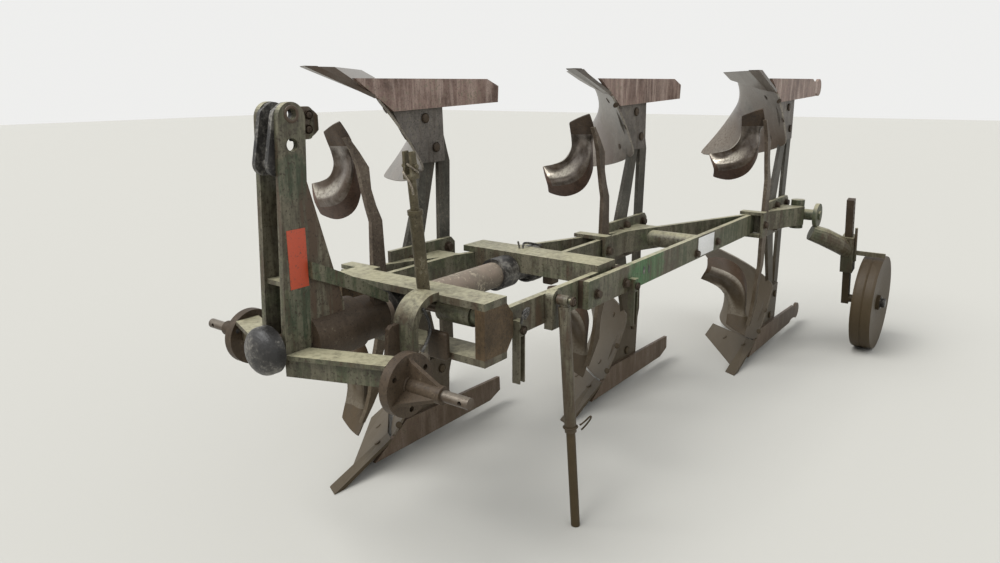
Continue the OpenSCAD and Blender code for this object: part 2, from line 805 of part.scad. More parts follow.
// Turnover cylinder between the plates of the front cross-member, and its rod.
cyl_d = 64;
cyl_x = front_x - front_w / 2;
cyl_z = axis_h + front_h - front_t - cyl_d / 2 - 3;
gland_y = 190;
rod_d = 32;
eye_y = 112;
eye_d = 46;
eye_bore = 20;
rod_in = 100;
module turnover_cylinder() {
    color("darkslategray") centred()
    difference() {
        union() {
            bar_y(cyl_x, cyl_z, cyl_d, gland_y, end_face_y - end_t - 38);
            bar_y(cyl_x, cyl_z, cyl_d - 14, gland_y, end_face_y - end_t - seat);
        }
        bar_y(cyl_x, cyl_z, rod_d + 2 * bearing_gap, gland_y - 1, gland_y + rod_in + 4);
    }
}
module cylinder_rod() {
    color("silver") centred()
    difference() {
        union() {
            bar_y(cyl_x, cyl_z, rod_d, eye_y, gland_y + rod_in - 70);
            translate([cyl_x - 22, eye_y, cyl_z]) rotate([0, 90, 0]) cylinder(d = eye_d, h = 44, $fn = fine);
        }
        translate([cyl_x - 30, eye_y, cyl_z]) rotate([0, 90, 0]) cylinder(d = eye_bore, h = 60, $fn = fine);
    }
}

module hanging_bars() {
    color("olivedrab") centred()
    for (place = [[front_rail_x - 42, front_rail_y, 6, 184], [-868, rail_y, 0, 165]])
        translate([place[0], place[1], axis_h + place[2] - place[3]]) difference() {
            cube([27, 25, place[3]]);
            translate([5, 5, -1]) cube([17, 30, place[3] - 44]);
        }
}

// Parking stand: an ear on the left rail, a hinged pipe and a telescopic leg.
stand_y = front_rail_y + ear_d + pipe_d / 2 + 4;
stand_z = axis_h + stand_pin_z;
stand_pin_d = 16;
module stand_ear() {
    color("gray") centred()
    union() {
        plate_xz(front_rail_y + ear_d, ear_d) hull() {
            translate([stand_x, stand_z]) circle(d = 54, $fn = 32);
            translate([stand_x - 27, stand_z - 90]) square([54, 20]);
        }
        bar_y(stand_x, stand_z, stand_pin_d, front_rail_y + ear_d, stand_y + pipe_d / 2 + 8);
    }
}

eye_drop = 20;
stand_eye_d = 31;
module on_stand() {
    translate([stand_x, stand_y, stand_z]) rotate([stand_lean, 0, 0]) children();
}
module stand_pipe() {
    color("olivedrab") centred()
    difference() {
        union() {
            on_stand() translate([0, 0, -pipe_len]) cylinder(d = pipe_d, h = pipe_len - eye_drop, $fn = fine);
            on_stand() translate([0, 0, -eye_drop - 4]) cylinder(d = pipe_d - 12, h = eye_drop + 4, $fn = fine);
            bar_y(stand_x, stand_z, stand_eye_d, stand_y - pipe_d / 2, stand_y + pipe_d / 2);
        }
        on_stand() translate([0, 0, -pipe_len - 1]) cylinder(d = pipe_bore, h = pipe_len - 40, $fn = fine);
        bar_y(stand_x, stand_z, stand_pin_d + 2 * bearing_gap, stand_y - 60, stand_y + 60);
    }
}
foot_t = 8;
leg_top = 232;
stand_reach = (stand_z - foot_t) / cos(stand_lean);
module stand_leg() {
    color("saddlebrown") centred()
    intersection() {
        on_stand() translate([0, 0, -stand_reach - 40])
            cylinder(d = leg_d, h = stand_reach + 40 - leg_top, $fn = fine);
        translate([stand_x - 200, stand_y - 200, 0]) cube([400, 400, 1000]);
    }
}

// Gauge wheel on its swinging arm.
arm_y = barrel_y + barrel_d / 2 + 56;
flange_t = 18;
wheel_z = wheel_d / 2;
module arm_mount() {
    color("darkolivegreen") centred()
    union() {
        translate([arm_x, barrel_y, axis_h - barrel_h / 2]) cylinder(d = barrel_d, h = barrel_h, $fn = fine);
        bar_y(arm_x, axis_h, pivot_d + 10, barrel_y + 4, arm_y - 1);
        bar_y(arm_x, axis_h, pivot_d, barrel_y, arm_y + flange_t + 8);
        plate_xy(axis_h - 30, 60) polygon([[arm_x, barrel_y - 24], [arm_x, barrel_y + 24],
            [beam_end_x, beam_face(beam_end_x) + beam_skin], [beam_end_x, beam_face(beam_end_x)]]);
    }
}

// Places along the leaning stem are measured from the wheel's axle.
module on_stem() {
    translate([wheel_x, sleeve_y, wheel_z]) rotate([0, stem_lean, 0]) children();
}
sleeve_foot = 160;
sleeve_head = 352;
sleeve_bore = 34.6;
arm_meets = 268;
scraper_x = wheel_x + 58;
scraper_z = wheel_d + 4;

// Rings of the arm: middle from the flange, direction and radius.
arm_rows = [[[14, -10, -84], [-0.4, 0.8, -0.35], 40], [[-30, 46, -110], [-0.5, 0.75, -0.4], 45],
    [[-84, 108, -150], [-0.6, 0.72, -0.35], 45],
    [[wheel_x - arm_x + arm_meets * sin(stem_lean), sleeve_y - arm_y, wheel_z - axis_h + arm_meets * cos(stem_lean)],
        [-0.6, 0.7, -0.35], 38]];
function ring(c, d, r) = let (side = unit(cross(d, [0, 0, 1])), up = unit(cross(side, d)))
    [for (a = [0:20:340]) c + side * r * cos(a) + up * r * sin(a)];
module wheel_arm() {
    half = sleeve_w / 2;
    color("darkseagreen") centred()
    difference() {
        union() {
            bar_y(arm_x, axis_h, flange_d, arm_y, arm_y + flange_t);
            translate([arm_x, arm_y, axis_h]) loft([for (row = arm_rows) ring(row[0], row[1], row[2])]);
            on_stem() translate([-half, -half, sleeve_foot]) cube([sleeve_w, sleeve_w, sleeve_head - sleeve_foot]);
            on_stem() translate([6, half + 5, sleeve_foot + 60]) cylinder(d = 13, h = 180, $fn = 32);
            on_stem() translate([8, -half - 52, sleeve_head - 12]) rotate([-90, 0, 0]) cylinder(d = 17, h = 60, $fn = 32);
            translate([scraper_x, sleeve_y - 14, scraper_z]) cube([10, wheel_y + 4 - sleeve_y + 14, 22]);
            translate([wheel_x + 40, sleeve_y - 14, scraper_z]) cube([scraper_x - wheel_x - 36, 28, 22]);
        }
        bar_y(arm_x, axis_h, pivot_d + 2 * bearing_gap, arm_y - 1, arm_y + flange_t + 12);
        on_stem() translate([-sleeve_bore / 2, -sleeve_bore / 2, 0]) cube([sleeve_bore, sleeve_bore, 600]);
    }
}

stem_w = 34;
stem_top = 548;
module wheel_stem() {
    half = stem_w / 2;
    color("saddlebrown") centred()
    union() {
        on_stem() difference() {
            translate([-half, -half, -26]) cube([stem_w, stem_w, stem_top + 26]);
            for (z = [sleeve_head + 20:26:stem_top - 18])
                translate([0, -40, z]) rotate([-90, 0, 0]) cylinder(d = 12, h = 80, $fn = 32);
        }
        bar_y(wheel_x, wheel_z, axle_d, sleeve_y + half - 1, wheel_y - 12);
    }
}

hub_d = 76;
module gauge_wheel() {
    y0 = wheel_y - wheel_w;
    color("saddlebrown") centred()
    translate([wheel_x, y0, wheel_z]) rotate([-90, 0, 0]) rotate_extrude($fn = 96)
        polygon([[axle_d / 2 + bearing_gap, 0], [hub_d / 2, 0], [hub_d / 2, wheel_w - 24],
            [wheel_d / 2 - rim_t, wheel_w - 12], [wheel_d / 2 - rim_t, 0], [wheel_d / 2 - 3, 0],
            [wheel_d / 2, 12], [wheel_d / 2, wheel_w / 2 - 5], [wheel_d / 2 - 3, wheel_w / 2],
            [wheel_d / 2, wheel_w / 2 + 5], [wheel_d / 2, wheel_w - 12], [wheel_d / 2 - 3, wheel_w],
            [wheel_d / 2 - rim_t, wheel_w], [hub_d / 2, wheel_w - 16],
            [hub_d / 2, wheel_w], [axle_d / 2 + bearing_gap, wheel_w]]);
}

mast_plates();
mast_ties();
mast_gussets();
mast_stay();
bearing_housing();
nose_cap();
hitch_beam();
hitch_discs();
hitch_pins();
top_shackle();
stop_hoop();
stop_plate();
adjusting_pole();
turnover_tube();
tube_collars();
front_cross_member();
end_blocks();
rear_cross_member();
left_rail_front();
left_rail_rear();
rail_packers();
right_rail();
main_beam();
inner_bar();
cross_tube();
leg_brackets();
legs();
frogs();
landsides();
shares();
boards_upper();
boards_lower();
skimmer_boards();
skimmer_stalks();
skimmer_clamps();
turnover_cylinder();
cylinder_rod();
hanging_bars();
stand_ear();
stand_pipe();
stand_leg();
arm_mount();
wheel_arm();
wheel_stem();
gauge_wheel();
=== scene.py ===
import json
import math
import bpy
from mathutils import Matrix, Vector


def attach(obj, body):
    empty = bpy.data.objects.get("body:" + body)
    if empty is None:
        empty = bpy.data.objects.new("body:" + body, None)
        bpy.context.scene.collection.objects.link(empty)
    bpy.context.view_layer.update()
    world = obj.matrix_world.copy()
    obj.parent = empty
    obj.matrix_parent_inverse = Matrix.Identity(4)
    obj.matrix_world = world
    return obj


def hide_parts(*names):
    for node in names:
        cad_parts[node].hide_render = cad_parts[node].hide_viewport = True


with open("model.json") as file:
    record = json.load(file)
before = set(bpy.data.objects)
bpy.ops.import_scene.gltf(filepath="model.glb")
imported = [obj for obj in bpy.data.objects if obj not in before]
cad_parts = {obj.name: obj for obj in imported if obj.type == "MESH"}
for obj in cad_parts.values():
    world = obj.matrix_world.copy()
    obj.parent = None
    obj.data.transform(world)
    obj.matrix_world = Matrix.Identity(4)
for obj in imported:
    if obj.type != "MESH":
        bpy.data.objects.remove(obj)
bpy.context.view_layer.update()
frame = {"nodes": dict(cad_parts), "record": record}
print("frame loaded", len(frame["nodes"]), "nodes")


# shader maths
class Wire:  # wraps a socket, so that sums on it become Math nodes
    def __init__(self, shade, socket):
        self.shade = shade
        self.socket = socket

    def maths(self, operation, *values):
        return self.shade.add("ShaderNodeMath", {"operation": operation}, dict(enumerate(values)))

    def __add__(self, other):
        return self.maths("ADD", self, other)

    def __sub__(self, other):
        return self.maths("SUBTRACT", self, other)

    def __rsub__(self, other):
        return self.maths("SUBTRACT", other, self)

    def __mul__(self, other):
        return self.maths("MULTIPLY", self, other)

    def above(self, edge, soft=0.05):  # 0 below the edge, 1 above it
        return self.shade.add("ShaderNodeMapRange", {"clamp": True},
                              {0: self, 1: edge - soft, 2: edge + soft, 3: 0.0, 4: 1.0})

    def below(self, edge, soft=0.05):
        return self.shade.add("ShaderNodeMapRange", {"clamp": True},
                              {0: self, 1: edge - soft, 2: edge + soft, 3: 1.0, 4: 0.0})


class Shade:  # one material and the nodes in it
    def __init__(self, name):
        self.material = bpy.data.materials.new(name)
        self.material.use_nodes = True
        self.tree = self.material.node_tree
        self.bsdf = self.tree.nodes["Principled BSDF"]
        self.place = self.add("ShaderNodeTexCoord", {}, {}, out="Object")

    def put(self, socket, value):
        if isinstance(value, Wire):
            self.tree.links.new(value.socket, socket)
        elif hasattr(value, "__len__") and len(value) == 3 and socket.type == "RGBA":
            socket.default_value = (*value, 1.0)
        else:
            socket.default_value = value

    def add(self, kind, settings, inputs, out=0):
        node = self.tree.nodes.new(kind)
        for name, value in settings.items():
            if name == "stops":
                while len(node.color_ramp.elements) < len(value):
                    node.color_ramp.elements.new(0.5)
                for element, (place, colour) in zip(node.color_ramp.elements, value):
                    element.position = place
                    element.color = (*colour, 1.0)
            else:
                setattr(node, name, value)
        for key, value in inputs.items():
            self.put(node.inputs[key], value)
        return Wire(self, node.outputs[out])

    def noise(self, scale, detail=6.0, rough=0.6, stretch=(1, 1, 1)):
        at = self.add("ShaderNodeMapping", {}, {"Vector": self.place, "Scale": stretch})
        return self.add("ShaderNodeTexNoise", {}, {"Vector": at, "Scale": scale, "Detail": detail,
                                                  "Roughness": rough}, out="Fac")

    def blend(self, factor, low, high):
        return self.add("ShaderNodeMix", {"data_type": "RGBA"}, {0: factor, 6: low, 7: high}, out=2)

    def facing(self, axis):  # the surface normal's part along X, Y or Z
        normal = self.add("ShaderNodeNewGeometry", {}, {}, out="Normal")
        return self.add("ShaderNodeSeparateXYZ", {}, {0: normal}, out=axis)

    def low(self, grain):  # 1 near the ground, 0 at the rails
        height = self.add("ShaderNodeSeparateXYZ", {}, {0: self.place}, out="Z")
        return (height + grain * 0.25).below(0.62, 0.22)

    def soilAndShadeLow(self, colour, grain, share):  # soil stain and painted shade, both growing towards the ground
        return self.blend(self.low(grain) * share, colour, tints["mudAndShade"])

    def finish(self, colour, rough, metal=0.0, relief=None, depth=0.0006, strength=0.5, gloss=0.5):
        self.put(self.bsdf.inputs["Base Color"], colour)
        self.put(self.bsdf.inputs["Roughness"], rough)
        self.put(self.bsdf.inputs["Metallic"], metal)
        self.put(self.bsdf.inputs["Specular IOR Level"], gloss)
        if relief is not None:
            bump = self.add("ShaderNodeBump", {},
                            {"Strength": strength, "Distance": depth, "Height": relief})
            self.put(self.bsdf.inputs["Normal"], bump)
        return self.material


# places
size = {"axis": 0.689, "shift": (1.2945, -0.0145), "furrow": 0.353, "pitch": 0.905, "heel": -1.010,
        "land": -0.270, "sole": 0.655}
everyBody = [(index, upper) for index in range(3) for upper in (False, True)]


def spot(x, y, z):  # from the turnover axis' own zero to the frame's
    return Vector((x + size["shift"][0], y + size["shift"][1], z))


def onBody(index, upper, reach, left, up):  # from a landside's heel: ahead, to the left, up from the sole
    rise = size["sole"] - up
    return spot(size["heel"] - index * size["pitch"] + reach,
                size["land"] + index * size["furrow"] + left,
                size["axis"] + (rise if upper else -rise))


# finishes
tints = {
    "paint": (0.032, 0.046, 0.024), "paintPale": (0.088, 0.093, 0.050), "grimeAndShade": (0.046, 0.041, 0.028),
    "greyBare": (0.092, 0.083, 0.053), "lichenAndSkySheen": (0.360, 0.335, 0.220), "dust": (0.178, 0.160, 0.112),
    "rustDark": (0.032, 0.021, 0.013), "rustBrown": (0.070, 0.044, 0.027),
    "scoured": (0.190, 0.172, 0.148), "bright": (0.350, 0.318, 0.290),
    "steelDull": (0.052, 0.042, 0.034), "soot": (0.012, 0.011, 0.010),
    # mudAndShade darkens the lower parts: soil stain and painted shade
    "freshGreen": (0.040, 0.135, 0.045), "mudAndShade": (0.054, 0.038, 0.017), "chalkAndSkyGlint": (0.420, 0.385, 0.320),
}


def weatheredPaint(name, greenShare, lichenAndSheenShare, rustShare, patches=()):
    shade = Shade(name)
    broad = shade.noise(4.5, 7.0, 0.62)
    fine = shade.noise(58.0, 8.0, 0.7)
    streak = shade.noise(34.0, 7.0, 0.7, stretch=(1, 1, 0.10))
    upward = shade.facing("Z")
    bare = shade.blend(fine.above(0.5, 0.2), tints["grimeAndShade"], tints["greyBare"])
    green = shade.blend(fine.above(0.5, 0.22), tints["paint"], tints["paintPale"])
    worn = shade.blend((broad * 0.65 + fine * 0.35).above(1 - greenShare, 0.05), bare, green)
    for place, radius, tint in patches:
        gap = shade.add("ShaderNodeVectorMath", {"operation": "DISTANCE"},
                        {0: shade.place, 1: spot(*place)}, out="Value")
        patch = (gap + fine * radius * 0.8).below(radius * 1.4, radius * 0.12)
        worn = shade.blend(patch * 0.9, worn, tint)
    dusty = shade.blend((streak * 0.8 + fine * 0.2).above(0.53, 0.06) * 0.6, worn, tints["dust"])
    rusty = shade.blend((streak * 0.7 + broad * 0.3).below(rustShare, 0.05) * 0.9, dusty, tints["rustBrown"])
    speck = shade.noise(135.0, 4.0, 0.6)
    pitted = shade.blend(speck.above(0.6, 0.03) * 0.75, rusty, tints["rustDark"])
    # pale tone on upward faces: lichen, and a painted sky sheen on the tops
    grown = (broad * 0.4 + fine * 0.6).above(1 - lichenAndSheenShare, 0.12)
    lichenAndTopSheen = shade.blend(upward.above(0.6, 0.2) * grown, pitted, tints["lichenAndSkySheen"])
    return shade.finish(shade.soilAndShadeLow(lichenAndTopSheen, broad, 0.72), broad * 0.3 + 0.34, 0.0,
                        fine * 0.6 + speck * 0.4, 0.0014, 0.6, 0.35)


def rustedSteel(name, low, high, spotShare, depth=0.0016,
                runTint=tints["rustDark"], runShare=0.55):
    shade = Shade(name)
    broad = shade.noise(6.0, 7.0, 0.65)
    fine = shade.noise(80.0, 8.0, 0.72)
    streak = shade.noise(30.0, 7.0, 0.7, stretch=(1, 1, 0.12))
    base = shade.blend((broad * 0.5 + fine * 0.25 + streak * 0.25).above(0.5, 0.09), low, high)
    runs = shade.blend(streak.above(0.55, 0.07) * runShare, base, runTint)
    spots = shade.blend((fine * 0.7 + broad * 0.3).above(1 - spotShare, 0.04) * 0.8, runs, tints["dust"])
    pores = shade.noise(190.0, 4.0, 0.6)
    pitted = shade.blend(pores.above(0.61, 0.04) * 0.65, spots, tints["soot"])
    return shade.finish(shade.soilAndShadeLow(pitted, broad, 0.74), fine * 0.3 + 0.36, 0.0,
                        fine * 0.55 + pores * 0.45, depth, 0.6, 0.22)


def scouredSteel(name, rustShare, clean, metal, dustAndGlintShare):
    shade = Shade(name)
    broad = shade.noise(3.6, 6.0, 0.55)
    fine = shade.noise(95.0, 8.0, 0.7)
    scratch = shade.noise(26.0, 6.0, 0.6, stretch=(0.18, 1, 1))
    pits = shade.add("ShaderNodeTexVoronoi", {}, {"Vector": shade.place, "Scale": 160.0},
                     out="Distance")
    bare = shade.blend((scratch * 0.6 + broad * 0.4).above(0.5, 0.14), tints["steelDull"], clean)
    rusty = (broad * 0.8 + fine * 0.2).above(1 - rustShare, 0.08)
    film = shade.blend(rusty * 0.8, bare, tints["rustBrown"])
    # pale speckle on upward faces: dust, and a painted highlight of the sky on them
    skyward = (shade.facing("Z") + broad * 0.5 - 0.25).above(0.34, 0.2)
    dustAndSkyGlint = skyward * (fine.above(0.47, 0.06) * 0.7 + 0.3)
    dusty = shade.blend(dustAndSkyGlint * dustAndGlintShare, film, tints["chalkAndSkyGlint"])
    dark = shade.blend(pits.below(0.14, 0.05) * broad.above(0.46, 0.08) * 0.6, dusty, tints["rustDark"])
    soiled = shade.low(broad)
    return shade.finish(shade.soilAndShadeLow(dark, broad, 0.86), fine * 0.2 + soiled * 0.25 + 0.2,
                        metal - soiled * (metal * 0.8), fine * 0.5 + scratch * 0.5, 0.0008, 0.4, 0.3)


def fadedPrimer(name):
    shade = Shade(name)
    broad = shade.noise(9.0, 7.0, 0.62)
    fine = shade.noise(75.0, 8.0, 0.7)
    base = shade.blend(broad.above(0.5, 0.15), (0.24, 0.185, 0.14), (0.13, 0.112, 0.082))
    # downward faces darkened: painted shade on the primer's undersides
    under = shade.facing("Z").below(-0.1, 0.5)
    shadedUnderside = shade.blend(under * 0.8, base, tints["grimeAndShade"])
    flakes = shade.blend((fine * 0.6 + broad * 0.4).above(0.56, 0.05), shadedUnderside, (0.42, 0.36, 0.27))
    return shade.finish(flakes, fine * 0.25 + 0.45, 0.0, fine, 0.0011, 0.5)


def oldGrease(name):
    shade = Shade(name)
    broad = shade.noise(18.0, 6.0, 0.6)
    fine = shade.noise(110.0, 7.0, 0.7)
    base = shade.blend(broad.above(0.52, 0.1), tints["soot"], (0.055, 0.05, 0.044))
    dusty = shade.blend((fine * 0.5 + broad * 0.5).above(0.56, 0.05), base, (0.18, 0.17, 0.145))
    return shade.finish(dusty, fine * 0.4 + 0.22, 0.0, broad * 0.5 + fine * 0.5, 0.004, 0.8)


def flatPaint(name, colour, wear):
    shade = Shade(name)
    broad = shade.noise(30.0, 6.0, 0.65)
    fine = shade.noise(180.0, 6.0, 0.7)
    faded = shade.blend(fine.above(0.5, 0.2), colour, [0.8 * part + 0.012 for part in colour])
    chipped = shade.blend((broad * 0.5 + fine * 0.5).above(1 - wear, 0.03), faded, tints["grimeAndShade"])
    return shade.finish(chipped, fine * 0.2 + 0.4, 0.0, fine, 0.0003, 0.4)


mastPatches = (((0.230, 0.046, 1.110), 0.055, tints["paint"]),  # where, how far, and the tint there
               ((0.200, 0.046, 0.780), 0.080, tints["paint"]))
railPatches = (((-1.010, 0.400, 0.688), 0.110, tints["freshGreen"]),
               ((-0.900, 0.400, 0.700), 0.060, tints["freshGreen"]))
finishes = {
    "weathered_green": weatheredPaint("weatheredGreen", 0.46, 0.56, 0.43, mastPatches),
    "moss_green": weatheredPaint("mossGreen", 0.52, 0.58, 0.43, railPatches),
    "brown_rust": rustedSteel("brownRust", (0.036, 0.025, 0.016), (0.082, 0.058, 0.038), 0.36),
    "red_rust": rustedSteel("redRust", (0.090, 0.068, 0.055), (0.200, 0.135, 0.110), 0.42),
    "worn_steel": scouredSteel("wornSteel", 0.54, tints["scoured"], 0.38, 0.3),
    "pink_primer": fadedPrimer("fadedPrimer"),
    "old_grease": oldGrease("oldGrease"),
}
special = {  # nodes whose finish differs from that of their slot
    "landsides": rustedSteel("pinkRust", (0.120, 0.080, 0.064), (0.330, 0.225, 0.190), 0.44, 0.0016,
                             (0.50, 0.41, 0.35), 0.45),
    "end_blocks": rustedSteel("grainedRust", (0.040, 0.026, 0.013), (0.140, 0.092, 0.048), 0.36, 0.0024),
    "frogs": rustedSteel("greyCasting", (0.080, 0.071, 0.060), (0.185, 0.165, 0.148), 0.42),
    "legs": rustedSteel("greyLegs", (0.036, 0.034, 0.026), (0.105, 0.098, 0.082), 0.40),
    "adjusting_pole": rustedSteel("brownPole", (0.046, 0.038, 0.020), (0.125, 0.104, 0.062), 0.42),
    "mast_gussets": weatheredPaint("darkGussets", 0.30, 0.30, 0.52),
    "stand_pipe": weatheredPaint("rustyPipe", 0.42, 0.30, 0.49),
    "stand_leg": rustedSteel("soiledLeg", (0.040, 0.028, 0.013), (0.098, 0.072, 0.036), 0.36),
    "skimmer_stalks": rustedSteel("brownStalks", (0.056, 0.041, 0.028), (0.150, 0.116, 0.088), 0.42),
}
edgeSteel = rustedSteel("paleEdge", (0.150, 0.130, 0.110), (0.420, 0.385, 0.335), 0.45)
skimmerSteel = scouredSteel("skimmerSteel", 0.5, tints["bright"], 0.6, 1.0)
# darker red-brown for the skimmers' rolled lip: rust tone, and painted shade of the down-facing band
lipRustAndShade = rustedSteel("lipRustAndShade", (0.060, 0.034, 0.024), (0.125, 0.078, 0.058), 0.30, 0.0008)
shareRust = rustedSteel("shareRust", (0.040, 0.032, 0.028), (0.105, 0.070, 0.045), 0.34)
slotOf = {part["node"]: part["material_slot"] for part in frame["record"]["subparts"]}
for nodeName, node in frame["nodes"].items():
    node.data.materials.clear()
    node.data.materials.append(special.get(nodeName, finishes[slotOf[nodeName]]))
print("finishes done", len(finishes))


# modelling helpers
smoothAngle = 35  # degrees


def alone(piece):
    bpy.ops.object.select_all(action="DESELECT")
    piece.select_set(True)
    bpy.context.view_layer.objects.active = piece


def startRound(name, at, along, radius, length, sides=24):  # a round bar from at, along a direction
    bpy.ops.object.select_all(action="DESELECT")
    direction = Vector(along).normalized()
    bpy.ops.mesh.primitive_cylinder_add(vertices=sides, radius=radius, depth=length,
                                        location=Vector(at) + direction * length / 2,
                                        rotation=direction.to_track_quat("Z", "Y").to_euler())
    piece = bpy.context.object
    piece.name = name
    return piece


def startBlock(name, low, high):
    bpy.ops.object.select_all(action="DESELECT")
    low, high = Vector(low), Vector(high)
    bpy.ops.mesh.primitive_cube_add(size=1, location=(low + high) / 2)
    piece = bpy.context.object
    piece.name = name
    piece.scale = high - low
    bpy.ops.object.transform_apply(location=True, rotation=False, scale=True)
    return piece


def roundEdges(piece, width, steps=2):
    alone(piece)
    bevel = piece.modifiers.new("bevel", "BEVEL")
    bevel.width = width
    bevel.segments = steps
    bpy.ops.object.modifier_apply(modifier=bevel.name)


def settle(piece, slotName, body, material=None, keep=False):  # the end of every piece
    alone(piece)
    bpy.ops.object.transform_apply(location=True, rotation=True, scale=True)
    bpy.ops.object.mode_set(mode="EDIT")
    bpy.ops.mesh.select_all(action="SELECT")
    bpy.ops.mesh.remove_doubles(threshold=0.00002)
    bpy.ops.mesh.normals_make_consistent(inside=False)
    bpy.ops.object.mode_set(mode="OBJECT")
    bpy.ops.object.shade_smooth_by_angle(angle=math.radians(smoothAngle))
    if not keep:
        piece.data.materials.clear()
        piece.data.materials.append(material or finishes[slotName])
    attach(piece, body)
    return piece


def joinAll(name, parts):
    bpy.ops.object.select_all(action="DESELECT")
    for part in parts:
        part.select_set(True)
    bpy.context.view_layer.objects.active = parts[0]
    if len(parts) > 1:
        bpy.ops.object.join()
    whole = bpy.context.object
    whole.name = name
    return whole


def twinOf(piece, shift=(0, 0, 0)):  # a copy with its own mesh
    twin = piece.copy()
    twin.data = piece.data.copy()
    bpy.context.scene.collection.objects.link(twin)
    twin.location = piece.location + Vector(shift)
    return twin


def addBolt(at, along, across, tall):  # hexagon head with broken edges, and a washer under it
    foot = Vector(at) + Vector(along).normalized() * 0.003
    head = startRound("head", foot, along, across / 2, tall, sides=6)
    alone(head)
    bpy.ops.object.mode_set(mode="EDIT")
    bpy.ops.mesh.select_all(action="SELECT")
    bpy.ops.mesh.bevel(offset=across * 0.06, segments=1, affect="EDGES")
    bpy.ops.object.mode_set(mode="OBJECT")
    washer = startRound("washer", at, along, across * 0.62, 0.0035, sides=20)
    return [head, washer]


def addDome(at, along, across, tall):  # round plough bolt head
    dome = startRound("dome", at, along, across / 2, tall, sides=20)
    alone(dome)
    bpy.ops.object.mode_set(mode="EDIT")
    bpy.ops.mesh.select_all(action="SELECT")
    bpy.ops.mesh.bevel(offset=tall * 0.75, segments=3, affect="EDGES")
    bpy.ops.object.mode_set(mode="OBJECT")
    return [dome]


def tubeAlong(name, points, radius):
    curve = bpy.data.curves.new(name, "CURVE")
    curve.dimensions = "3D"
    curve.bevel_depth = radius
    curve.bevel_resolution = 2
    curve.use_fill_caps = True
    line = curve.splines.new("NURBS")
    line.points.add(len(points) - 1)
    for point, place in zip(line.points, points):
        point.co = (*place, 1)
    line.use_endpoint_u = True
    line.order_u = 3
    line.resolution_u = 4
    piece = bpy.data.objects.new(name, curve)
    bpy.context.scene.collection.objects.link(piece)
    alone(piece)
    bpy.ops.object.convert(target="MESH")
    return bpy.context.object


# camera, floor and light
view = {"place": (2.6402055, 1.4839264, 1.3199856), "focus": 738.988,
        "turn": (0.9599431306428101, 1.9065218603177605, -1.4707496271646607),
        "floor": (0.47, 0.46, 0.42), "skyTint": (0.95, 0.97, 1.0, 1), "sky": 0.78,
        "backdrop": (0.86, 0.86, 0.85, 1),
        "suns": (("keyLight", 2.9, 34, 60, 40), ("fillLight", 0.25, 55, 170, 60))}


def addCamera():
    turn = Vector(view["turn"])
    rows = Matrix.Rotation(turn.length, 3, turn.normalized())
    right, down, forward = rows[0], rows[1], rows[2]
    camera = bpy.data.objects.new("camera", bpy.data.cameras.new("camera"))
    bpy.context.scene.collection.objects.link(camera)
    look = Matrix((right, -down, -forward)).transposed().to_4x4()
    look.translation = Vector(view["place"])
    camera.matrix_world = look
    camera.data.sensor_width = 36
    camera.data.lens = 36 * view["focus"] / 1000
    camera.data.clip_end = 200
    bpy.context.scene.camera = camera


def addStage():
    bpy.ops.object.select_all(action="DESELECT")
    bpy.ops.mesh.primitive_plane_add(size=60, location=(0, 0, -0.0005))
    floor = bpy.context.object
    floor.name = "floor"
    shade = Shade("paleFloor")
    shade.finish(view["floor"], 0.9)
    floor.data.materials.append(shade.material)
    world = bpy.data.worlds.new("softSky")
    bpy.context.scene.world = world
    world.use_nodes = True
    nodes, links = world.node_tree.nodes, world.node_tree.links
    lit = nodes["Background"]
    lit.inputs["Color"].default_value = view["skyTint"]
    lit.inputs["Strength"].default_value = view["sky"]
    seen = nodes.new("ShaderNodeBackground")
    seen.inputs["Color"].default_value = view["backdrop"]
    seen.inputs["Strength"].default_value = 1.0
    path = nodes.new("ShaderNodeLightPath")
    either = nodes.new("ShaderNodeMath")
    either.operation = "MAXIMUM"
    links.new(path.outputs["Is Camera Ray"], either.inputs[0])
    links.new(path.outputs["Is Glossy Ray"], either.inputs[1])
    mix = nodes.new("ShaderNodeMixShader")
    links.new(either.outputs[0], mix.inputs[0])
    links.new(lit.outputs[0], mix.inputs[1])
    links.new(seen.outputs[0], mix.inputs[2])
    links.new(mix.outputs[0], nodes["World Output"].inputs[0])


def addSun(name, strength, tilt, heading, spread):  # the last three in degrees
    sun = bpy.data.objects.new(name, bpy.data.lights.new(name, "SUN"))
    bpy.context.scene.collection.objects.link(sun)
    sun.data.energy = strength
    sun.data.angle = math.radians(spread)
    sun.rotation_euler = (math.radians(tilt), 0, math.radians(heading))


addCamera()
addStage()
for sunRow in view["suns"]:
    addSun(*sunRow)
bpy.context.scene.view_settings.view_transform = "Standard"
print("camera and lights done")


# bolts
boltSize = {"frog": (0.034, 0.009), "leg": (0.032, 0.014), "rail": (0.028, 0.012), "bar": (0.022, 0.011),
            "stand": (0.026, 0.012), "axle": (0.050, 0.020), "lug": (0.019, 0.010),
            "face": (0.024, 0.0035), "sunk": 0.0012}
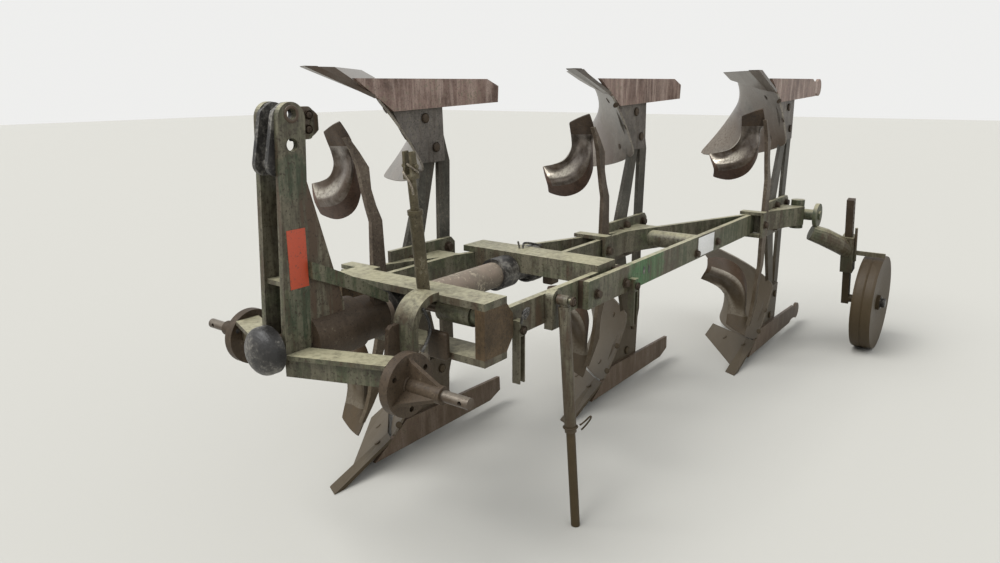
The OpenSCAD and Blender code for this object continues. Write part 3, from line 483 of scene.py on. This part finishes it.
# the frogs' and legs' places are reach, left and up on a body, and the clamps' have its number before them
boltAt = {"frog": ((0.410, -0.014, 0.132), (0.357, -0.014, 0.235)),
          "leg": ((0.458, -0.046, 0.600), (0.504, -0.046, 0.622), (0.302, -0.046, 0.606)), "nut": 0.032,
          "clamp": ((0, 0.734, 0.046, 0.655), (1, 0.734, 0.054, 0.655), (2, 0.734, 0.022, 0.655)),
          "rail": ((-0.628, 0.400, 0.684), (-0.817, 0.400, 0.679), (-1.645, 0.400, 0.680),
                   (-1.425, 0.400, 0.668)),
          "bar": ((-0.2385, 0.387, 0.668), (-0.8545, 0.425, 0.664)),
          "stand": ((-0.412, 0.438, 0.717),), "axle": ((-2.705, 0.884, 0.240),),
          "lug": ((0.159, 0.0298, 1.254), (0.162, 0.0298, 1.220))}
toLeft, toRight = (0, 1, 0), (0, -1, 0)


def fastenings(name, slotName, body, places, along, across, tall, make=addBolt):  # one is made, the rest copied
    first = joinAll(name, make(places[0], along, across, tall))
    twins = [twinOf(first, place - places[0]) for place in places[1:]]
    return settle(joinAll(name, [first] + twins), slotName, body)


frogPlaces = [onBody(i, u, *place) for i, u in everyBody for place in boltAt["frog"]]
legPlaces = [onBody(i, u, *place) for i, u in everyBody for place in boltAt["leg"]]
nutPlaces = [place + Vector(toLeft) * boltAt["nut"] for place in legPlaces]
clampPlaces = [onBody(i, False, *place) for i, *place in boltAt["clamp"]]
railPlaces, barPlaces, standPlaces, axlePlaces, lugPlaces = (
    [spot(*place) for place in boltAt[key]] for key in ("rail", "bar", "stand", "axle", "lug"))
fastenings("frogBolts", "brown_rust", "frame", frogPlaces, toLeft, *boltSize["frog"], make=addDome)
fastenings("legBolts", "brown_rust", "frame", legPlaces, toRight, *boltSize["leg"])
fastenings("legNuts", "brown_rust", "frame", nutPlaces, toLeft, *boltSize["leg"])
fastenings("railBolts", "brown_rust", "frame", railPlaces, toLeft, *boltSize["rail"])
fastenings("barBolts", "brown_rust", "frame", barPlaces, toLeft, *boltSize["bar"], make=addDome)
fastenings("clampBolts", "brown_rust", "frame", clampPlaces, toLeft, *boltSize["leg"])
fastenings("standPinHead", "brown_rust", "frame", standPlaces, toLeft, *boltSize["stand"], make=addDome)
fastenings("axleNut", "old_grease", "wheel", axlePlaces, toLeft, *boltSize["axle"])


# smooth sheets in place of the frame's stepped ones: points are reach, left and up on a body, in mm
board = {"low": ((652, 0, 64), (250, -430, -42), (-5, -370, 38)),
         "top": ((440, 0, 305), (330, -180, 396), (70, -585, 405)),
         "hollow": (22, 150, 60), "back": ((-0.7, 0.05, -0.6), (-0.8, 0.7, 0.1), (-0.5, 0.8, -0.2)),
         "thick": 0.008}
skimmer = {"stalk": 677, "gap": 8.3, "thick": 0.007, "across": 12, "along": 21,
           "share": 0.20, "lip": 0.30, "tip": 0.93,  # along it: where the share ends, the lip starts and widens
           "fold": 0.28, "rows": (  # from the share to the far tip
    ((121, 0, 126), (118, 30, 135), (111, 64, 147), (99, 98, 160)),
    ((72, 6, 187), (86, 30, 187), (80, 70, 191), (82, 104, 195)),
    ((40, 39, 231), (60, 36, 233), (55, 79, 232), (65, 110, 226)),
    ((20, 47, 294), (60, 35, 283), (35, 106, 283), (50, 122, 267)),
    ((5, 54, 355), (62, 57, 336), (25, 141, 326), (38, 160, 311)),
    ((0, 94, 426), (62, 93, 372), (30, 174, 362), (25, 218, 335)),
    ((5, 171, 461), (55, 153, 394), (32, 214, 378), (20, 256, 345)),
    ((10, 247, 450), (40, 234, 410), (35, 252, 381), (22, 270, 351)))}


def bend(start, pull, end, share):
    return start * (1 - share) ** 2 + pull * 2 * share * (1 - share) + end * share ** 2


def bendPoints(points, share):
    return bend(*(Vector(point) for point in points), share)


def boardPlace(along, up):
    low, top = bendPoints(board["low"], along), bendPoints(board["top"], along)
    back = bendPoints(board["back"], along).normalized()
    return low.lerp(top, up) + back * bend(*board["hollow"], along) * 2 * up * (1 - up)


def through(points, share):  # a smooth line through all the points
    place = share * (len(points) - 1)
    first = min(int(place), len(points) - 2)
    share = place - first
    before, here, there, after = (points[max(0, min(len(points) - 1, first + step))]
                                  for step in (-1, 0, 1, 2))
    return (here * 2 + (there - before) * share + (before * 2 - here * 5 + there * 4 - after) * share ** 2
            + (here * 3 - before - there * 3 + after) * share ** 3) / 2


def skimmerPlace(along, across):
    turn = through([through([Vector(point) for point in row], across) for row in skimmer["rows"]], along)
    return Vector((skimmer["stalk"] + turn.x, -skimmer["gap"] - turn.y, turn.z))


def skimmerZone(along, across):  # number of the first of a face's two materials
    if along < skimmer["share"]:
        return 4
    rolled = across < skimmer["fold"] and along > skimmer["lip"]
    return 2 if rolled or along > skimmer["tip"] else 0


def bentSheets(name, replaced, place, sides, thick, steel, zone=None, rowsCount=14, columnsCount=10):
    sheets = []
    for upper in sides:
        bpy.ops.object.select_all(action="DESELECT")
        bpy.ops.mesh.primitive_grid_add(size=1, x_subdivisions=columnsCount, y_subdivisions=rowsCount)
        sheet = bpy.context.object
        for face in sheet.data.polygons:
            face.material_index = zone(face.center.y + 0.5, face.center.x + 0.5) if zone else 0
        for vertex in sheet.data.vertices:
            reach, left, up = place(vertex.co.y + 0.5, vertex.co.x + 0.5) / 1000
            vertex.co = onBody(0, upper, reach, left, up)
        alone(sheet)
        smoother = sheet.modifiers.new("smoother", "SUBSURF")
        smoother.levels = smoother.render_levels = 1
        bpy.ops.object.modifier_apply(modifier=smoother.name)
        for material in (steel, edgeSteel, lipRustAndShade, edgeSteel, shareRust, shareRust):
            sheet.data.materials.append(material)
        wall = sheet.modifiers.new("wall", "SOLIDIFY")
        wall.thickness = thick
        wall.offset = 1 if upper else -1
        wall.use_even_offset = True
        wall.material_offset_rim = 1
        bpy.ops.object.modifier_apply(modifier=wall.name)
        behind = [onBody(index, upper, 0, 0, 0) - onBody(0, upper, 0, 0, 0) for index in (1, 2)]
        sheets += [sheet] + [twinOf(sheet, shift) for shift in behind]
    piece = settle(joinAll(name, sheets), "worn_steel", "frame", keep=True)
    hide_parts(replaced)
    return piece


bentSheets("skimmerShells", "skimmer_boards", skimmerPlace, (False, True), skimmer["thick"],
           skimmerSteel, skimmerZone, skimmer["along"], skimmer["across"])
upperBoards = bentSheets("upperMoldboards", "boards_upper", boardPlace, (True,), board["thick"],
                         finishes["worn_steel"])
lowerBoards = bentSheets("lowerMoldboards", "boards_lower", boardPlace, (False,), board["thick"],
                         finishes["worn_steel"])
print("sheets done")


def faceBolts(name, shell, upper, hints):  # flush bolt heads on a hollow face, nearest to each hint
    inward = shell.matrix_world.inverted()
    first = joinAll(name, addDome((0, 0, 0), (0, 0, 1), *boltSize["face"]))
    alone(first)
    bpy.ops.object.transform_apply(location=True, rotation=True, scale=True)
    heads = [first] + [twinOf(first) for _ in range(3 * len(hints) - 1)]
    wanted = [onBody(index, upper, *hint) for index in range(3) for hint in hints]
    for head, near in zip(heads, wanted):
        _, place, normal, _ = shell.closest_point_on_mesh(inward @ near)
        head.location = shell.matrix_world @ place - normal * boltSize["sunk"]
        head.rotation_euler = normal.to_track_quat("Z", "Y").to_euler()
    settle(joinAll(name, heads), "brown_rust", "frame")


boardHints = ((0.66, -0.060, 0.150), (0.60, -0.060, 0.250), (0.56, -0.170, 0.150), (0.50, -0.190, 0.300))
shareHints = ((0.690, -0.070, 0.090), (0.560, -0.230, 0.070))
faceBolts("boardBoltsUpper", upperBoards, True, boardHints)
faceBolts("boardBoltsLower", lowerBoards, False, boardHints)
faceBolts("shareBolts", frame["nodes"]["shares"], False, shareHints)
print("bolts done")


# plates on the mast and the rail
labels = {"blankDecal": ((0.2045, 0.0461, 0.839), (0.2605, 0.0470, 0.986), 0.0003, "headstock",
                         "fadedDecal", (0.46, 0.062, 0.020), 0.42),
          "blankPlate": ((-1.606, 0.4001, 0.650), (-1.440, 0.4015, 0.728), 0.0006, "frame",
                         "whitePlate", (0.78, 0.78, 0.76), 0.36)}
for label, (low, high, edge, body, paintName, colour, wear) in labels.items():
    plate = startBlock(label, spot(*low), spot(*high))
    roundEdges(plate, edge)
    settle(plate, "weathered_green", body, flatPaint(paintName, colour, wear))


# mast top
mast = {"bush": (0.219, 0.0465, 1.258), "bushRing": (0.0172, 0.0042, 0.5),
        "lug": ((0.136, 0.0185, 1.196), (0.1872, 0.0298, 1.274)), "round": 0.022, "edge": 0.0015}


def ringAt(name, place, axis, major, minor, flat=1.0):
    bpy.ops.object.select_all(action="DESELECT")
    turn = Vector(axis).to_track_quat("Z", "Y").to_euler()
    bpy.ops.mesh.primitive_torus_add(location=place, rotation=turn, major_radius=major, minor_radius=minor,
                                     major_segments=40, minor_segments=10)
    ring = bpy.context.object
    ring.name = name
    ring.scale = (1, 1, flat)
    return ring


bush = ringAt("bush", spot(*mast["bush"]), toLeft, *mast["bushRing"])
farBush = twinOf(bush, Vector(toRight) * 2 * mast["bush"][1])
settle(joinAll("mastBushes", [bush, farBush]), "worn_steel", "headstock")
lug = startBlock("mastLug", spot(*mast["lug"][0]), spot(*mast["lug"][1]))
alone(lug)
bpy.ops.object.mode_set(mode="EDIT")
bpy.ops.mesh.select_all(action="DESELECT")
bpy.ops.object.mode_set(mode="OBJECT")
for edge in lug.data.edges:  # the front corners
    ends = [lug.data.vertices[index].co for index in edge.vertices]
    edge.select = abs(ends[0].y - ends[1].y) > 0.005 and ends[0].x < spot(0.15, 0, 0).x
bpy.ops.object.mode_set(mode="EDIT")
bpy.ops.mesh.bevel(offset=mast["round"], segments=6, affect="EDGES")
bpy.ops.object.mode_set(mode="OBJECT")
roundEdges(lug, mast["edge"])
settle(lug, "weathered_green", "headstock")
fastenings("lugBolts", "brown_rust", "headstock", lugPlaces, toLeft, *boltSize["lug"], make=addDome)


# wires, twine and welds
strands = {  # slot, body, radius and the points along it
    "collarWireShort": ("old_grease", "frame", 0.0035,
                        ((-0.761, 0, 0.782), (-0.764, 0.004, 0.765), (-0.772, 0, 0.738))),
    "collarWireLong": ("old_grease", "frame", 0.004,
                       ((-0.775, 0.012, 0.738), (-0.768, 0.014, 0.775), (-0.800, 0.010, 0.772),
                        (-0.850, 0, 0.760), (-0.910, 0, 0.741))),
    "hoopHose": ("old_grease", "frame", 0.0045,
                 ((-0.015, 0.226, 0.756), (-0.040, 0.229, 0.715), (-0.034, 0.229, 0.672),
                  (-0.004, 0.228, 0.640))),
    "poleTwine": ("pink_primer", "frame", 0.0028,
                  ((-0.036, 0.166, 1.128), (-0.052, 0.180, 1.110), (-0.078, 0.170, 1.100),
                   (-0.080, 0.145, 1.104), (-0.050, 0.136, 1.108), (-0.034, 0.158, 1.100),
                   (-0.040, 0.180, 1.070), (-0.046, 0.176, 1.048))),
    "barTwine": ("old_grease", "frame", 0.0042,
                 ((-0.232, 0.388, 0.690), (-0.222, 0.396, 0.712), (-0.238, 0.404, 0.728),
                  (-0.256, 0.396, 0.716), (-0.244, 0.390, 0.700), (-0.228, 0.394, 0.722),
                  (-0.246, 0.402, 0.734), (-0.262, 0.392, 0.720), (-0.250, 0.386, 0.696))),
    "clipLoop": ("brown_rust", "stand_sleeve", 0.0028,
                 ((-0.430, 0.465, 0.330), (-0.446, 0.470, 0.334), (-0.478, 0.474, 0.346),
                  (-0.484, 0.474, 0.336), (-0.452, 0.470, 0.318), (-0.438, 0.466, 0.312)))}
for strand, (slotName, body, radius, points) in strands.items():
    settle(tubeAlong(strand, [spot(*point) for point in points], radius), slotName, body)

rings = {"clip": ((-0.412, 0.4430, 0.3250), (0, 0.078, -1), 0.0205, 0.0030),  # place, axis and both radii
         "band": ((-0.800, 0, 0.689), (1, 0, 0), 0.0590, 0.0055),
         "weld": ((0.142, 0.3245, 0.618), toLeft, 0.0245, 0.0032)}
clip, band, weld = (ringAt(key, spot(*row[0]), *row[1:]) for key, row in rings.items())
settle(joinAll("clipRing", [clip]), "brown_rust", "stand_sleeve")
settle(joinAll("collarBand", [band]), "old_grease", "frame")
farWeld = twinOf(weld, Vector(toRight) * 2 * rings["weld"][0][1])
settle(joinAll("pinWelds", [weld, farWeld]), "brown_rust", "headstock")

# the rail's slots are thin near-black discs on the surface: painted shade of the openings
slotShadow = {"at": (-0.957, 0.3995, 0.695), "radius": 0.008, "deep": 0.0012, "stretch": 1.9,
            "next": (-0.040, 0, -0.004)}
slot = startRound("slot", spot(*slotShadow["at"]), toLeft, slotShadow["radius"], slotShadow["deep"], sides=20)
slot.scale = (1, slotShadow["stretch"], 1)
settle(joinAll("slotShadowDiscs", [slot, twinOf(slot, slotShadow["next"])]), "old_grease", "frame")
blocks = {"collarLug": ((-0.925, 0.030, 0.606), (-0.874, 0.072, 0.672), 0.006, 3),  # corners and rounding
          "stopLug": ((-0.084, 0.190, 0.600), (-0.062, 0.260, 0.680), 0.009, 4)}
for blockName, (low, high, rounding, steps) in blocks.items():
    block = startBlock(blockName, spot(*low), spot(*high))
    roundEdges(block, rounding, steps)
    settle(block, "brown_rust", "frame")
print("trim done")


print("pieces done")
